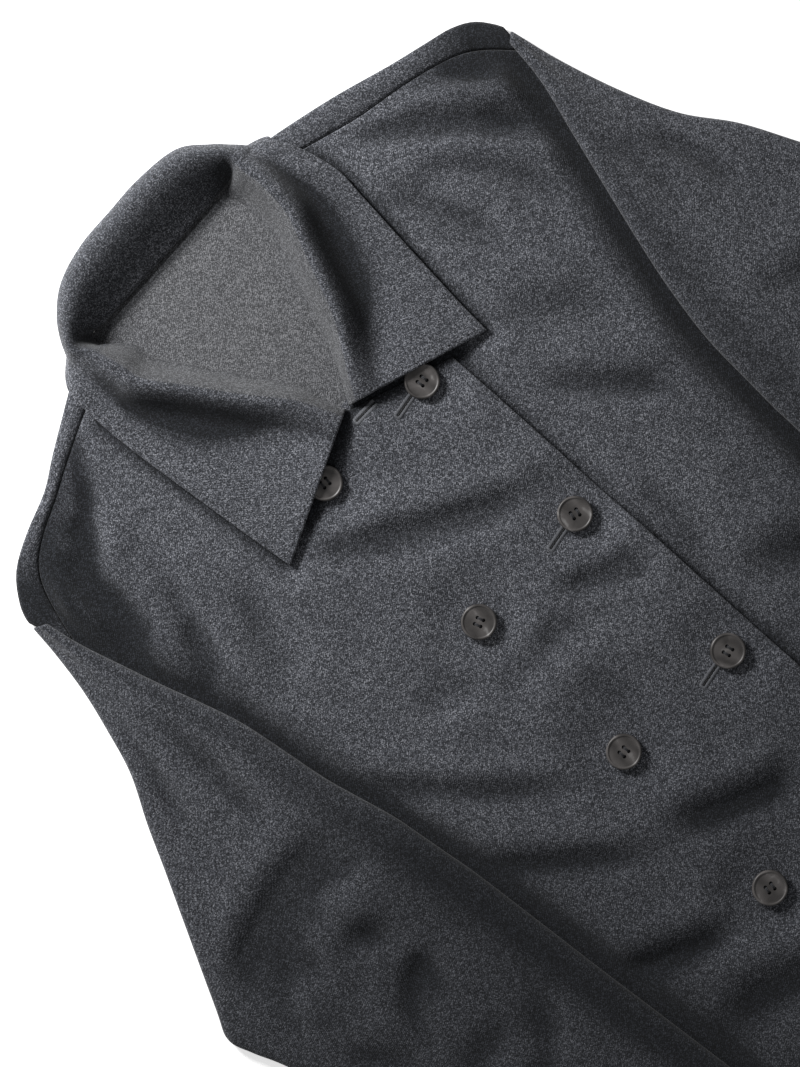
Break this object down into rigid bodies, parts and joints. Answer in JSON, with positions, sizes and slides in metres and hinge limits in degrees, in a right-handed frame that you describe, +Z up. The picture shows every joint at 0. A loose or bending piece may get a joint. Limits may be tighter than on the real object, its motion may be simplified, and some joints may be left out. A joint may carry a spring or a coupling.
{
  "type": "double-breasted jacket, laid flat and buttoned",
  "caption": "Double-breasted wool jacket with a large pointed collar, laid flat on its back and buttoned, sleeves laid in over the fronts.",
  "frame": {"origin": "on the surface the jacket lies on, under the middle of its outline from cuff to collar and from sleeve to sleeve", "axes": "+X towards the wearer's left, +Y from the hem towards the collar, +Z up out of the surface the jacket lies on, towards the buttons"},
  "size_m": [0.6216, 0.6788, 0.0192],
  "materials": {
    "wool_cloth": "matte charcoal melange wool, brushed lightly",
    "horn_button": "dark grey-brown horn look, marbled, semi-gloss"
  },
  "bodies": {
    "root": {"back": "wool_cloth", "front_left": "wool_cloth", "front_right": "wool_cloth", "collar": "wool_cloth", "sleeve_left": "wool_cloth", "sleeve_right": "wool_cloth", "button_outer_1": "horn_button", "button_inner_1": "horn_button", "button_outer_2": "horn_button", "button_inner_2": "horn_button", "button_outer_3": "horn_button", "button_inner_3": "horn_button", "button_outer_4": "horn_button", "button_inner_4": "horn_button"}
  },
  "joints": []
}
